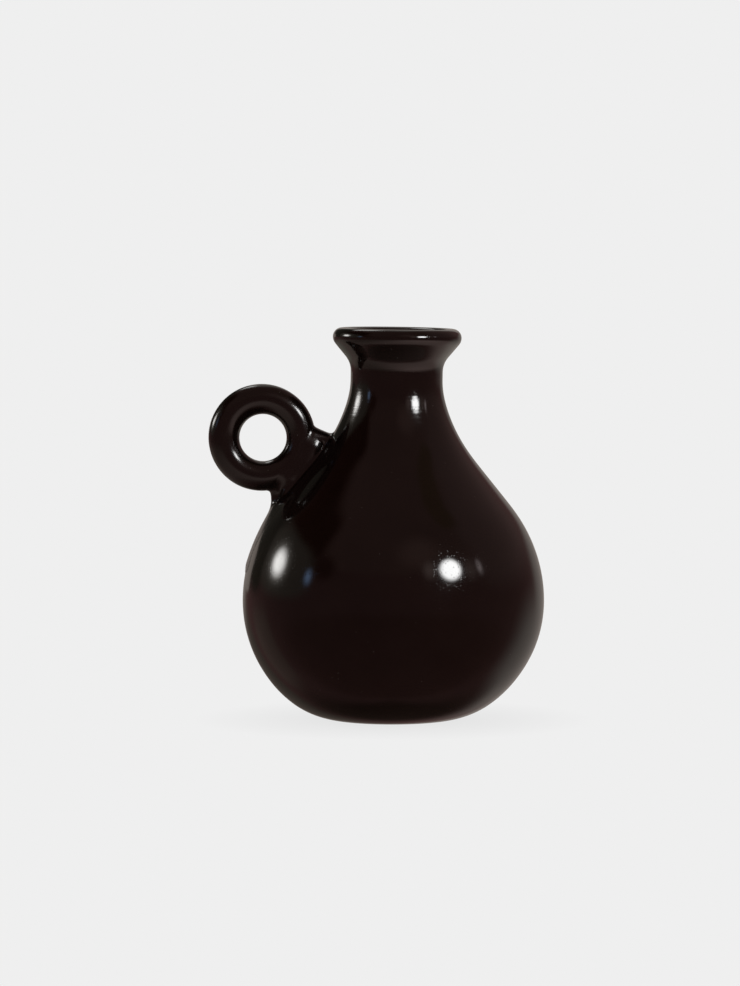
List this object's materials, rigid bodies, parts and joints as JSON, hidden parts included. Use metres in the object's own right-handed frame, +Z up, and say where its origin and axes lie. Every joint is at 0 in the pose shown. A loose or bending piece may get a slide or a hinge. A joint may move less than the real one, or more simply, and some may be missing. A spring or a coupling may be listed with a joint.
{
  "type": "round jug with a finger ring",
  "caption": "Small round-bellied black clay jug with a narrow neck, a flared round-lipped mouth and a coiled finger ring luted to the shoulder on a saddle of clay.",
  "frame": {"origin": "middle of the flat foot, on the surface that the pot stands on", "axes": "+Z up along the pot's axis and out of the mouth; the finger ring is on -X and its hole runs along Y"},
  "size_m": [0.1376, 0.123, 0.1595],
  "materials": {
    "burnished_clay": "high gloss, burnished dark brown-black",
    "dry_slip": "matte, unburnished"
  },
  "bodies": {
    "root": {"foot_disc": "burnished_clay", "belly_wall": "burnished_clay", "shoulder_wall": "burnished_clay", "neck_collar": "burnished_clay", "rim_coil": "burnished_clay", "handle_ring": "burnished_clay", "handle_saddle": "burnished_clay", "foot_slip": "dry_slip", "girth_slip": "dry_slip", "neck_slip": "dry_slip", "rim_slip": "dry_slip", "ring_slip": "dry_slip", "saddle_slip": "dry_slip"}
  },
  "joints": []
}
